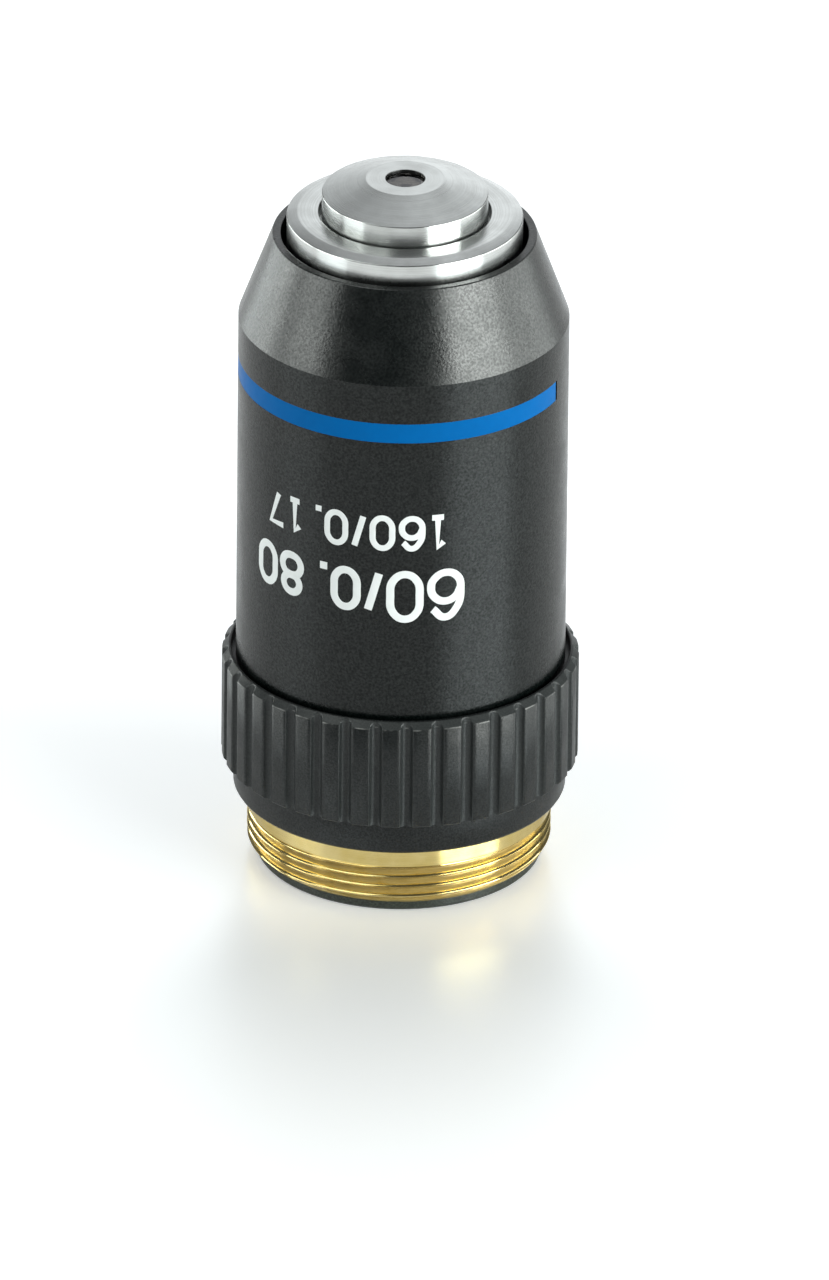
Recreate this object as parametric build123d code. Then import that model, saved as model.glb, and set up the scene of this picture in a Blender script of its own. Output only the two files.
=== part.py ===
from build123d import *
from math import sqrt
import os

# A dry microscope objective with a sprung nose, standing on its rear face with the front lens up.
# Millimetres, optical axis along +Z, origin at the centre of the rear face.

# Fits shared by all pieces
seat_clearance = 0.02       # radial play of a screwed or pressed seat
guide_clearance = 0.05      # radial play of the sliding nose
overrun = 1.0               # how far a cutter passes a face

# Mount body: the standard 0.7965 inch objective thread and the tube above it
thread_radius = 10.16
thread_length = 4.3
thread_chamfer = 0.6
grip_seat_step = 0.46       # thread crest down to the seat of the grip ring
register_step = 0.16        # thread crest down to the register of the grip ring
register_depth = 0.4        # how far the brass reaches into the foot of the grip ring
sleeve_seat_step = 0.2      # grip ring seat down to the seat of the sleeve
body_wall = 0.9
body_height = 28.0          # shoulder to the top of the guide bore
guide_length = 4.0
guide_step = 0.74           # spring bore down to the guide bore

# Rear ring: closes the spring bore and is the foot of the standing part
foot_flange_step = 0.66     # thread crest down to the flange
foot_chamfer = 0.18
foot_height = 0.7
rear_ring_depth = 2.8       # how far the ring screws into the body
spring_seat_width = 2.4     # spring bore down to the rear aperture
spanner_slot_width = 1.4
spanner_slot_depth = 0.8
spanner_slot_reach = 1.6    # slot length outwards from the aperture

# Grip ring
shoulder_width = 0.9        # thread crest out to the collar
collar_chamfer = 0.22
collar_height = 2.3
land_rise = 0.81            # collar out to the grip lands
grip_height = 10.05
land_chamfer = 0.49
land_foot_chamfer = 0.15
groove_count = 36
groove_radius = 0.42
groove_start_angle = 2.3    # turn of the groove pattern, round from +X
sleeve_recess_depth = 0.65
sleeve_recess_gap = 0.32    # dark gap round the foot of the sleeve

# Outer sleeve
sleeve_wall = 1.43
sleeve_height = 25.05       # recess floor to the start of the cone
cone_height = 6.0
mouth_gap = 0.38            # sprung nose out to the mouth
lip_width = 0.54
lip_depth = 0.85
cone_wall = 1.1             # height that the inner cone lies below the outer one

# Coloured band: enamel in a shallow groove, broken by a short gap
band_width = 1.39
band_drop = 2.76            # start of the cone down to the band
enamel_depth = 0.12
band_gap_angle = 20.0
band_gap_direction = 77.0   # middle of the gap, round from the front towards +X

# Lens barrel: the sliding tube of the nose
nose_rise = 1.56            # mouth up to the barrel's flat end
barrel_end_chamfer_width = 0.69
barrel_end_chamfer_height = 0.28
stop_collar_length = 5.0
nose_travel = 2.5
rear_tube_step = 0.81       # nose radius down to the tube inside the spring
rear_tube_wall = 0.7
rear_tube_gap = 1.5         # tube end to the rear ring with the nose pushed home
stack_step_width = 1.3      # lens bore down to the thread of the cap
cap_recess_gap = 0.22
cap_recess_depth = 1.0
front_web_depth = 7.5       # barrel end down to the step that the lens stack meets

# Guide screw: keeps the nose from turning
guide_screw_radius = 0.6
guide_screw_height = 1.2    # above the lower end of the stop collar
guide_screw_bite = 0.9      # how far it reaches into the keyway
keyway_depth = 1.1
screw_slot_width = 0.25
screw_slot_depth = 0.3

# Front cell: the cone-topped cap that carries the front lens
cap_head_step = 0.5         # thread of the cap out to its head
cap_rim_rise = 1.42         # barrel end up to the rim of the cap
cap_cone_height = 0.98
cap_flat_share = 0.4745     # of the cap's radius
cap_thread_length = 5.5
cap_wall = 1.1
second_bore_roof = 3.2      # cap flat down to the shoulder that meets the second cell
front_lens_share = 0.675    # of the second lens's radius
front_curve_share = 1.05    # curves are given in radii of their lens; minus is hollow side up
front_lens_edge = 0.72
front_lip_width = 0.32
front_lip_height = 0.26
front_pocket_depth = 0.95

# Second cell and its meniscus
second_cell_length = 3.2
second_lens_share = 0.615   # of the bore in the cap
second_front_share = -1.75
second_back_share = -1.21
second_lens_edge = 1.08
second_lens_drop = 0.05     # cell's front face down to the lens rim
second_seat_width = 0.3
second_retainer_length = 1.2
second_retainer_share = 0.28 # width, of the retainer's radius

# Middle cell and its cemented pair
middle_lens_share = 0.7     # of the cell's radius
middle_front_share = 2.05
middle_cement_share = -1.55
middle_back_share = 3.2
middle_crown_edge = 0.64
middle_flint_edge = 3.5
middle_lip_height = 2.4
middle_seat_width = 0.5
middle_cell_skirt = 1.2

# Rear cell and its cemented pair
rear_lens_share = 0.78      # of the cell's radius
rear_front_share = 3.05
rear_cement_share = -2.15
rear_back_share = -8.2
rear_crown_edge = 0.9
rear_flint_edge = 2.6
rear_lip_height = 1.8
rear_seat_width = 0.5
rear_cell_skirt = 0.8

# Rest of the lens stack
stop_thickness = 0.4
stop_share = 0.54           # of the cell's radius
spacer_wall = 0.9
lock_ring_length = 1.5
lock_ring_width = 1.3
lock_ring_recess = 4.0      # tube end up to the lock ring

# Return spring
wire_radius = 0.35
spring_turns = 7

# Heights worked out from the foot upwards
brass_foot_z = foot_height
shoulder_z = brass_foot_z + thread_length
rear_ring_top_z = brass_foot_z + rear_ring_depth
grip_top_z = shoulder_z + grip_height
sleeve_foot_z = grip_top_z - sleeve_recess_depth
cone_foot_z = sleeve_foot_z + sleeve_height
mouth_z = cone_foot_z + cone_height
body_top_z = shoulder_z + body_height
stop_z = body_top_z - guide_length
stop_collar_foot_z = stop_z - stop_collar_length
barrel_end_z = mouth_z + nose_rise
tube_foot_z = rear_ring_top_z + rear_tube_gap + nose_travel
stack_top_z = barrel_end_z - front_web_depth
cap_flat_z = barrel_end_z + cap_rim_rise + cap_cone_height
guide_screw_z = stop_collar_foot_z + guide_screw_height

# Radii worked out from the thread inwards and outwards
collar_radius = thread_radius + shoulder_width
land_radius = collar_radius + land_rise
foot_flange_radius = thread_radius - foot_flange_step
foot_radius = foot_flange_radius - foot_chamfer
register_radius = thread_radius - register_step
grip_seat_radius = thread_radius - grip_seat_step
sleeve_seat_radius = grip_seat_radius - sleeve_seat_step
spring_bore_radius = sleeve_seat_radius - body_wall
rear_aperture_radius = spring_bore_radius - spring_seat_width
guide_radius = spring_bore_radius - guide_step
nose_radius = guide_radius - guide_clearance
stop_collar_radius = spring_bore_radius - guide_clearance
sleeve_bore_radius = sleeve_seat_radius + seat_clearance
sleeve_radius = sleeve_bore_radius + sleeve_wall
mouth_radius = nose_radius + mouth_gap
rear_tube_radius = nose_radius - rear_tube_step
stack_bore_radius = rear_tube_radius - rear_tube_wall
cell_radius = stack_bore_radius - seat_clearance
spring_radius = (spring_bore_radius + rear_tube_radius) / 2
cap_thread_radius = stack_bore_radius - stack_step_width
cap_radius = cap_thread_radius + cap_head_step
cap_flat_radius = cap_flat_share * cap_radius
second_bore_radius = cap_thread_radius - cap_wall

# Lens radii and curves, from the bores that the lenses sit in
second_lens_radius = second_lens_share * second_bore_radius
second_front_curve = second_front_share * second_lens_radius
second_back_curve = second_back_share * second_lens_radius
front_lens_radius = front_lens_share * second_lens_radius
front_lens_curve = front_curve_share * front_lens_radius
front_aperture_radius = front_lens_radius - front_lip_width
middle_lens_radius = middle_lens_share * cell_radius
middle_front_curve = middle_front_share * middle_lens_radius
middle_cement_curve = middle_cement_share * middle_lens_radius
middle_back_curve = middle_back_share * middle_lens_radius
rear_lens_radius = rear_lens_share * cell_radius
rear_front_curve = rear_front_share * rear_lens_radius
rear_cement_curve = rear_cement_share * rear_lens_radius
rear_back_curve = rear_back_share * rear_lens_radius
stop_radius = stop_share * cell_radius


def turned(outline):
    """A piece turned about the optical axis from a closed outline of (radius, height) points."""
    return revolve(Plane.XZ * make_face(Polyline(*outline, close=True)), Axis.Z)


def surface_height(vertex_z, curve, distance):
    """Height of a polished surface at a distance from the axis; a positive curve bulges upwards."""
    sag = abs(curve) - sqrt(curve ** 2 - distance ** 2)
    return vertex_z - sag if curve > 0 else vertex_z + sag


def polished_arc(vertex_z, curve, rim_radius):
    """Half section of a polished surface, from its vertex to the rim of the lens."""
    half_radius = rim_radius / 2
    middle = (half_radius, surface_height(vertex_z, curve, half_radius))
    return ThreePointArc((0, vertex_z), middle, (rim_radius, surface_height(vertex_z, curve, rim_radius)))


def lens(rim_radius, top_z, top_curve, bottom_z, bottom_curve):
    """A lens between two polished surfaces, given by the heights of their vertices."""
    top_rim = (rim_radius, surface_height(top_z, top_curve, rim_radius))
    bottom_rim = (rim_radius, surface_height(bottom_z, bottom_curve, rim_radius))
    outline = [
        polished_arc(top_z, top_curve, rim_radius),
        Line(top_rim, bottom_rim),
        polished_arc(bottom_z, bottom_curve, rim_radius),
        Line((0, bottom_z), (0, top_z)),
    ]
    return revolve(Plane.XZ * make_face(outline), Axis.Z)


def vertex_below(top_z, top_curve, edge, bottom_curve, rim_radius):
    """Vertex height of the lower surface of a lens whose rim is edge thick."""
    rim_z = surface_height(top_z, top_curve, rim_radius) - edge
    return rim_z - surface_height(0, bottom_curve, rim_radius)


def spanner_slots(inner_radius, reach, low_z, high_z):
    """Two cutters for the slots that a pin spanner turns a ring by."""
    length = reach + overrun
    slot = Box(length, spanner_slot_width, high_z - low_z, align=(Align.MIN, Align.CENTER, Align.MIN))
    start = inner_radius - overrun
    return [Rot(0, 0, turn) * Pos(start, 0, low_z) * slot for turn in (0, 180)]


def mount_body():
    """Brass stub with the objective thread, and the tube above it that guides the nose."""
    outline = [
        (spring_bore_radius, brass_foot_z),
        (thread_radius - thread_chamfer, brass_foot_z),
        (thread_radius, brass_foot_z + thread_chamfer),
        (thread_radius, shoulder_z),
        (register_radius, shoulder_z),
        (register_radius, shoulder_z + register_depth),
        (grip_seat_radius, shoulder_z + register_depth),
        (grip_seat_radius, sleeve_foot_z),
        (sleeve_seat_radius, sleeve_foot_z),
        (sleeve_seat_radius, body_top_z),
        (guide_radius, body_top_z),
        (guide_radius, stop_z),
        (spring_bore_radius, stop_z),
    ]
    return turned(outline) - guide_screw_bore()


def guide_screw_bore():
    """Cross bore of the guide screw, towards +Y."""
    length = sleeve_seat_radius + overrun
    radius = guide_screw_radius + seat_clearance
    bore = Cylinder(radius, length, align=(Align.CENTER, Align.CENTER, Align.MIN))
    return Pos(0, 0, guide_screw_z) * Rot(-90, 0, 0) * bore


def rear_ring():
    """Ring screwed into the rear of the body; its flange is the foot and its end seats the spring."""
    inner = rear_aperture_radius
    outer = spring_bore_radius - seat_clearance
    outline = [
        (inner, 0),
        (foot_radius, 0),
        (foot_flange_radius, foot_chamfer),
        (foot_flange_radius, foot_height),
        (outer, foot_height),
        (outer, rear_ring_top_z),
        (inner, rear_ring_top_z),
    ]
    ring = turned(outline)
    for slot in spanner_slots(inner, spanner_slot_reach, -overrun, spanner_slot_depth):
        ring -= slot
    return ring


def grip_ring():
    """Black ring with half-round finger grooves over a plain collar that seats on the nosepiece."""
    bore = grip_seat_radius + seat_clearance
    register = register_radius + seat_clearance
    recess = sleeve_radius + sleeve_recess_gap
    outline = [
        (bore, shoulder_z + register_depth),
        (register, shoulder_z + register_depth),
        (register, shoulder_z + register_step),
        (register + register_step, shoulder_z),
        (collar_radius - collar_chamfer, shoulder_z),
        (collar_radius, shoulder_z + collar_chamfer),
        (collar_radius, shoulder_z + collar_height),
        (land_radius - land_foot_chamfer, shoulder_z + collar_height),
        (land_radius, shoulder_z + collar_height + land_foot_chamfer),
        (land_radius, grip_top_z - land_chamfer),
        (land_radius - land_chamfer, grip_top_z),
        (recess, grip_top_z),
        (recess, sleeve_foot_z),
        (bore, sleeve_foot_z),
    ]
    ring = turned(outline)
    groove = Pos(0, 0, shoulder_z) * Cylinder(
        groove_radius, grip_height + overrun, align=(Align.CENTER, Align.CENTER, Align.MIN)
    )
    for copy in PolarLocations(land_radius, groove_count, groove_start_angle):
        ring -= copy * groove
    return ring


def sleeve_outline():
    """Outer sleeve: plain barrel, cone and mouth, bored to fit over the body."""
    inner_cone_foot_z = cone_foot_z + cone_wall
    inner_cone_top_z = mouth_z - lip_depth
    return [
        (sleeve_bore_radius, sleeve_foot_z),
        (sleeve_radius, sleeve_foot_z),
        (sleeve_radius, cone_foot_z),
        (mouth_radius + lip_width, mouth_z),
        (mouth_radius, mouth_z),
        (mouth_radius, inner_cone_top_z),
        (sleeve_bore_radius, inner_cone_foot_z),
    ]


def enamel_band():
    """Open ring of enamel that fills a shallow groove in the sleeve."""
    top_z = cone_foot_z - band_drop
    low_z = top_z - band_width
    floor_radius = sleeve_radius - enamel_depth
    corners = [(floor_radius, low_z), (sleeve_radius, low_z), (sleeve_radius, top_z), (floor_radius, top_z)]
    section = make_face(Polyline(*corners, close=True))
    start = band_gap_direction + band_gap_angle / 2 - 90
    return Rot(0, 0, start) * revolve(Plane.XZ * section, Axis.Z, 360 - band_gap_angle)


def outer_sleeve():
    """Black sleeve with the groove for the coloured band cut into it."""
    return turned(sleeve_outline()) - enamel_band()


def lens_barrel():
    """Steel tube that slides in the body, with a stop collar, a keyway and a bore for the lens stack."""
    recess = cap_radius + cap_recess_gap
    cap_bore = cap_thread_radius + seat_clearance
    outline = [
        (stack_bore_radius, tube_foot_z),
        (rear_tube_radius, tube_foot_z),
        (rear_tube_radius, stop_collar_foot_z),
        (stop_collar_radius, stop_collar_foot_z),
        (stop_collar_radius, stop_z),
        (nose_radius, stop_z),
        (nose_radius, barrel_end_z - barrel_end_chamfer_height),
        (nose_radius - barrel_end_chamfer_width, barrel_end_z),
        (recess, barrel_end_z),
        (recess, barrel_end_z - cap_recess_depth),
        (cap_bore, barrel_end_z - cap_recess_depth),
        (cap_bore, stack_top_z),
        (stack_bore_radius, stack_top_z),
    ]
    width = 2 * (guide_screw_radius + guide_clearance)
    depth = keyway_depth + overrun
    keyway = Box(width, depth, stop_collar_length, align=(Align.CENTER, Align.MIN, Align.MIN))
    return turned(outline) - Pos(0, stop_collar_radius - keyway_depth, stop_collar_foot_z) * keyway


def guide_screw():
    """Headless screw through the body wall, with its tip in the keyway of the nose."""
    tip = spring_bore_radius - guide_screw_bite
    length = sleeve_seat_radius - screw_slot_depth / 2 - tip
    screw = Cylinder(guide_screw_radius, length, align=(Align.CENTER, Align.CENTER, Align.MIN))
    slot_length = 2 * guide_screw_radius + overrun
    slot = Box(slot_length, screw_slot_width, overrun, align=(Align.CENTER, Align.CENTER, Align.MIN))
    screw -= Pos(0, 0, length - screw_slot_depth) * slot
    return Pos(0, tip, guide_screw_z) * Rot(-90, 0, 0) * screw


def front_cell():
    """Cone-topped cap, screwed into the barrel, bored in steps for the front lens and the second cell."""
    head_foot_z = barrel_end_z - cap_recess_depth
    rim_z = barrel_end_z + cap_rim_rise
    lens_top_z = cap_flat_z - front_lip_height
    pocket = front_lens_radius + seat_clearance
    pocket_foot_z = lens_top_z - front_pocket_depth
    shoulder = cap_flat_z - second_bore_roof
    outline = [
        (second_bore_radius, head_foot_z - cap_thread_length),
        (cap_thread_radius, head_foot_z - cap_thread_length),
        (cap_thread_radius, head_foot_z),
        (cap_radius, head_foot_z),
        (cap_radius, rim_z),
        (cap_flat_radius, cap_flat_z),
        (front_aperture_radius, cap_flat_z),
        (front_aperture_radius, lens_top_z),
        (pocket, lens_top_z),
        (pocket, pocket_foot_z),
        (second_lens_radius, shoulder),
        (second_bore_radius, shoulder),
    ]
    return turned(outline)


def front_lens():
    """Nearly hemispherical front lens, flat side out."""
    top_z = cap_flat_z - front_lip_height
    rim_z = top_z - front_lens_edge
    vertex_z = rim_z - surface_height(0, -front_lens_curve, front_lens_radius)
    outline = [
        Line((0, top_z), (front_lens_radius, top_z)),
        Line((front_lens_radius, top_z), (front_lens_radius, rim_z)),
        polished_arc(vertex_z, -front_lens_curve, front_lens_radius),
        Line((0, vertex_z), (0, top_z)),
    ]
    return revolve(Plane.XZ * make_face(outline), Axis.Z)


# Heights of the second lens, from the shoulder inside the cap
second_cell_top_z = cap_flat_z - second_bore_roof
second_rim_z = second_cell_top_z - second_lens_drop
second_top_z = second_rim_z - surface_height(0, second_front_curve, second_lens_radius)
second_bottom_z = vertex_below(
    second_top_z, second_front_curve, second_lens_edge, second_back_curve, second_lens_radius
)
second_cell_foot_z = second_cell_top_z - second_cell_length


def second_cell():
    """Small ring whose inner edge carries the meniscus on its curved back."""
    outer = second_bore_radius - seat_clearance
    pocket = second_lens_radius + seat_clearance
    seat = second_lens_radius - second_seat_width
    seat_z = surface_height(second_bottom_z, second_back_curve, seat)
    outline = [
        (seat, second_cell_foot_z),
        (outer, second_cell_foot_z),
        (outer, second_cell_top_z),
        (pocket, second_cell_top_z),
        (pocket, seat_z),
        (seat, seat_z),
    ]
    return turned(outline)


def second_lens():
    """Meniscus behind the front lens, hollow side up."""
    return lens(second_lens_radius, second_top_z, second_front_curve, second_bottom_z, second_back_curve)


def second_retainer():
    """Ring that holds the second cell in the cap."""
    outer = second_bore_radius - seat_clearance
    top_z = second_cell_foot_z
    inner = outer - second_retainer_share * outer
    low_z = top_z - second_retainer_length
    return turned([(inner, low_z), (outer, low_z), (outer, top_z), (inner, top_z)])


# Heights of the middle pair, from the step in the barrel
middle_seat_radius = middle_lens_radius - middle_seat_width
middle_seat_z = stack_top_z - middle_lip_height
middle_top_z = middle_seat_z - surface_height(0, middle_front_curve, middle_seat_radius)
middle_cement_z = vertex_below(
    middle_top_z, middle_front_curve, middle_crown_edge, middle_cement_curve, middle_lens_radius
)
middle_bottom_z = vertex_below(
    middle_cement_z, middle_cement_curve, middle_flint_edge, middle_back_curve, middle_lens_radius
)
middle_rim_foot_z = surface_height(middle_bottom_z, middle_back_curve, middle_lens_radius)
middle_cell_foot_z = middle_rim_foot_z - middle_cell_skirt


def lens_cell(lens_radius, seat_radius, top_z, seat_z, foot_z):
    """Black cell: a lip with the seat at the top, and a pocket for the pair below it."""
    pocket = lens_radius + seat_clearance
    outline = [
        (pocket, foot_z),
        (cell_radius, foot_z),
        (cell_radius, top_z),
        (seat_radius, top_z),
        (seat_radius, seat_z),
        (pocket, seat_z),
    ]
    return turned(outline)


def middle_cell():
    """Cell of the middle pair, against the step in the barrel."""
    return lens_cell(middle_lens_radius, middle_seat_radius, stack_top_z, middle_seat_z, middle_cell_foot_z)


def middle_crown():
    """Upper, light glass of the middle pair."""
    return lens(middle_lens_radius, middle_top_z, middle_front_curve, middle_cement_z, middle_cement_curve)


def middle_flint():
    """Lower, dense glass of the middle pair, cemented to the upper one."""
    return lens(middle_lens_radius, middle_cement_z, middle_cement_curve, middle_bottom_z, middle_back_curve)


# Heights of the rear pair, from the lock ring upwards
lock_ring_z = tube_foot_z + lock_ring_recess
rear_cell_foot_z = lock_ring_z + lock_ring_length
rear_rim_foot_z = rear_cell_foot_z + rear_cell_skirt
rear_bottom_z = rear_rim_foot_z - surface_height(0, rear_back_curve, rear_lens_radius)
rear_cement_rim_z = rear_rim_foot_z + rear_flint_edge
rear_cement_z = rear_cement_rim_z - surface_height(0, rear_cement_curve, rear_lens_radius)
rear_top_z = rear_cement_rim_z + rear_crown_edge - surface_height(0, rear_front_curve, rear_lens_radius)
rear_seat_radius = rear_lens_radius - rear_seat_width
rear_seat_z = surface_height(rear_top_z, rear_front_curve, rear_seat_radius)
rear_cell_top_z = rear_seat_z + rear_lip_height


def rear_cell():
    """Cell of the rear pair, held by the lock ring."""
    return lens_cell(rear_lens_radius, rear_seat_radius, rear_cell_top_z, rear_seat_z, rear_cell_foot_z)


def rear_crown():
    """Upper, light glass of the rear pair."""
    return lens(rear_lens_radius, rear_top_z, rear_front_curve, rear_cement_z, rear_cement_curve)


def rear_flint():
    """Lower, dense glass of the rear pair, cemented to the upper one."""
    return lens(rear_lens_radius, rear_cement_z, rear_cement_curve, rear_bottom_z, rear_back_curve)


def aperture_stop():
    """Thin black disc with the hole that sets the cone of light."""
    low_z = rear_cell_top_z
    top_z = low_z + stop_thickness
    return turned([(stop_radius, low_z), (cell_radius, low_z), (cell_radius, top_z), (stop_radius, top_z)])


def cell_spacer():
    """Black tube that keeps the middle and rear cells apart."""
    inner = cell_radius - spacer_wall
    low_z = rear_cell_top_z + stop_thickness
    top_z = middle_cell_foot_z
    return turned([(inner, low_z), (cell_radius, low_z), (cell_radius, top_z), (inner, top_z)])


def lock_ring():
    """Ring that screws in behind the lens stack and clamps it."""
    inner = cell_radius - lock_ring_width
    top_z = lock_ring_z + lock_ring_length
    ring = turned([(inner, lock_ring_z), (cell_radius, lock_ring_z), (cell_radius, top_z), (inner, top_z)])
    slot_top_z = lock_ring_z + spanner_slot_depth
    for slot in spanner_slots(inner, lock_ring_width, lock_ring_z - overrun, slot_top_z):
        ring -= slot
    return ring


def return_spring():
    """Coil spring round the rear tube, between the rear ring and the stop collar."""
    coil_length = stop_collar_foot_z - rear_ring_top_z - 2 * wire_radius
    coil = Helix(coil_length / spring_turns, coil_length, spring_radius)
    section = Plane(origin=coil @ 0, z_dir=coil % 0) * Circle(wire_radius)
    return Pos(0, 0, rear_ring_top_z + wire_radius) * sweep(section, path=coil, is_frenet=True)


nodes = {
    "mount_body": mount_body,
    "rear_ring": rear_ring,
    "grip_ring": grip_ring,
    "outer_sleeve": outer_sleeve,
    "colour_band": enamel_band,
    "guide_screw": guide_screw,
    "return_spring": return_spring,
    "lens_barrel": lens_barrel,
    "front_cell": front_cell,
    "front_lens": front_lens,
    "second_cell": second_cell,
    "second_lens": second_lens,
    "second_retainer": second_retainer,
    "middle_cell": middle_cell,
    "middle_crown": middle_crown,
    "middle_flint": middle_flint,
    "cell_spacer": cell_spacer,
    "aperture_stop": aperture_stop,
    "rear_cell": rear_cell,
    "rear_crown": rear_crown,
    "rear_flint": rear_flint,
    "lock_ring": lock_ring,
}

os.makedirs("parts", exist_ok=True)
for node, make in nodes.items():
    export_step(make(), f"parts/{node}.step")
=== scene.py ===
from math import asin, cos, pi, radians, sin, tau

import bmesh
import bpy
from mathutils import Matrix, Vector


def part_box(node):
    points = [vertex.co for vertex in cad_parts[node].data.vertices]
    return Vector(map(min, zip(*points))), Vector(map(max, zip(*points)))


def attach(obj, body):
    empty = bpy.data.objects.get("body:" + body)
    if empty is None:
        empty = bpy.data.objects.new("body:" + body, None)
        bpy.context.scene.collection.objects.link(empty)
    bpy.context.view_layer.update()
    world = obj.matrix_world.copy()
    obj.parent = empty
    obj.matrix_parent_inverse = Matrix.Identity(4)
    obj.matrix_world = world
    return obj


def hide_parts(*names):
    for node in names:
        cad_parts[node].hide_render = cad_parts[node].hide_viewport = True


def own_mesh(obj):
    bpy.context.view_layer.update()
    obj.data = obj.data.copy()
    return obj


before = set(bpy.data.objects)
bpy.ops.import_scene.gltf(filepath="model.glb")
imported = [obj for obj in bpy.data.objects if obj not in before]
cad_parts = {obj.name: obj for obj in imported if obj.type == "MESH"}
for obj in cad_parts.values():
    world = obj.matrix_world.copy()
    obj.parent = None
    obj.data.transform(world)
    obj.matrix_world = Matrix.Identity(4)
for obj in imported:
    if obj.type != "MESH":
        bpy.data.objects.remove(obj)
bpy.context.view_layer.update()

# Rear ring: black anodised aluminium, turned, with two slots for a pin spanner. It screws into the rear
# end of the brass body, carries the foot of the return spring, and is the face that the objective
# stands on. All pieces are drawn in millimetres and brought to metres when they are finished.
MM = 0.001
ring_foot_chamfer = 0.18
ring_aperture_radius = 6.2
ring_thread_radius = 8.58
ring_slot_width = 1.4
ring_slot_depth = 0.8
ring_slot_end_radius = 7.8
fine_break = 0.05               # broken edge that a turned piece gets before it leaves the lathe
overrun = 1.0                   # how far a cutter stands out past what it cuts
merge_gap = 0.0005              # points nearer than this are one
speckle_tones = (0.35, 0.7)     # stretches of the noise over which the black finish changes
speckle_glints = (0.35, 0.65)
cloud_sheens = (0.3, 0.7)
cloud_wear = (0.48, 0.62)
cloud_grains = 12               # size of a cloud in the finish, in grains
# fade at the edges of the painted reflection in the grooves
groove_highlight_fade = 0.03
gloss_fade = 0.02
black_roughness_spread = 0.05
black_relief = 0.6


def reach(node):
    """Outer radius, foot and top of a CAD node, in millimetres."""
    low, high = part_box(node)
    return high[0] / MM, low[2] / MM, high[2] / MM


def wire(mesh, points, closed=False):
    """Adds a line of edges through points."""
    corners = [mesh.verts.new(point) for point in points]
    for here, there in zip(corners, corners[1:]):
        mesh.edges.new((here, there))
    if closed:
        mesh.edges.new((corners[-1], corners[0]))


def sweep(mesh, angle, steps, **more):
    """Spins everything in a mesh about the optical axis."""
    bmesh.ops.spin(
        mesh,
        geom=mesh.verts[:] + mesh.edges[:] + mesh.faces[:],
        cent=(0, 0, 0),
        axis=(0, 0, 1),
        angle=angle,
        steps=steps,
        **more,
    )


def turned(outline, steps=144, closed=True):
    """Mesh turned about the optical axis from (radius, height) points."""
    mesh = bmesh.new()
    wire(mesh, [(radius, 0, height) for radius, height in outline], closed)
    sweep(mesh, tau, steps, use_merge=True)
    return mesh


def bevel(mesh, edges, width):
    """Bevels edges in two steps, without running past their faces."""
    bmesh.ops.bevel(
        mesh,
        geom=edges,
        offset=width,
        segments=2,
        affect="EDGES",
        profile=0.5,
        material=-1,
        clamp_overlap=True,
    )


def break_edges(mesh, width, steepest=40):
    """Bevels every edge whose faces meet at more than an angle in degrees."""
    bmesh.ops.recalc_face_normals(mesh, faces=mesh.faces)
    bevel(mesh, [edge for edge in mesh.edges if edge.calc_face_angle(0) > radians(steepest)], width)


def put(mesh, name):
    """Makes an object of a mesh and puts it in the scene."""
    data = bpy.data.meshes.new(name)
    mesh.to_mesh(data)
    mesh.free()
    thing = bpy.data.objects.new(name, data)
    bpy.context.scene.collection.objects.link(thing)
    return thing


def finish(mesh, name, material, smooth_angle=12):
    """Closes a mesh, brings it to metres and makes it an object with a material."""
    bmesh.ops.remove_doubles(mesh, verts=mesh.verts, dist=merge_gap)
    bmesh.ops.recalc_face_normals(mesh, faces=mesh.faces)
    for face in mesh.faces:
        face.smooth = True
    for edge in mesh.edges:
        edge.smooth = edge.calc_face_angle(0) < radians(smooth_angle)
    bmesh.ops.scale(mesh, vec=(MM, MM, MM), verts=mesh.verts)
    piece = put(mesh, name)
    piece.data.materials.append(material)
    return piece


def applied(thing):
    """Mesh data of a curve, or of an object with its modifiers applied."""
    bpy.context.view_layer.update()
    return bpy.data.meshes.new_from_object(thing.evaluated_get(bpy.context.evaluated_depsgraph_get()))


def cut(piece, cutters):
    """Cuts other meshes, in millimetres, out of a finished piece."""
    for cutter in cutters:
        bmesh.ops.recalc_face_normals(cutter, faces=cutter.faces)
        bmesh.ops.scale(cutter, vec=(MM, MM, MM), verts=cutter.verts)
        tool = put(cutter, "cutter")
        saw = piece.modifiers.new("cut", "BOOLEAN")
        saw.operation = "DIFFERENCE"
        saw.solver = "EXACT"
        saw.object = tool
        result = applied(piece)
        piece.modifiers.clear()
        piece.data = result
        bpy.data.objects.remove(tool)


def block(low, high):
    """Box mesh between two corners, in millimetres."""
    mesh = bmesh.new()
    bmesh.ops.create_cube(mesh, size=1)
    size = Vector(high) - Vector(low)
    bmesh.ops.scale(mesh, vec=size, verts=mesh.verts)
    bmesh.ops.translate(mesh, vec=(Vector(high) + Vector(low)) / 2, verts=mesh.verts)
    return mesh


def shader(name):
    """New material with its node tree, its Principled shader and the place on the object."""
    material = bpy.data.materials.new(name)
    material.use_nodes = True
    tree = material.node_tree
    place = tree.nodes.new("ShaderNodeTexCoord").outputs["Object"]
    return material, tree, tree.nodes["Principled BSDF"], place


def feed(tree, sockets, sources):
    """Gives a node's inputs values, or links them to the outputs of other nodes."""
    for socket, source in zip(sockets, sources):
        if isinstance(source, bpy.types.NodeSocket):
            tree.links.new(source, socket)
        else:
            socket.default_value = source


def grains(tree, place, size, detail):
    """Noise with features of a size in millimetres."""
    noise = tree.nodes.new("ShaderNodeTexNoise")
    noise.inputs["Scale"].default_value = 1 / (size * MM)
    noise.inputs["Detail"].default_value = detail
    tree.links.new(place, noise.inputs["Vector"])
    return noise.outputs["Fac"]


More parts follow.
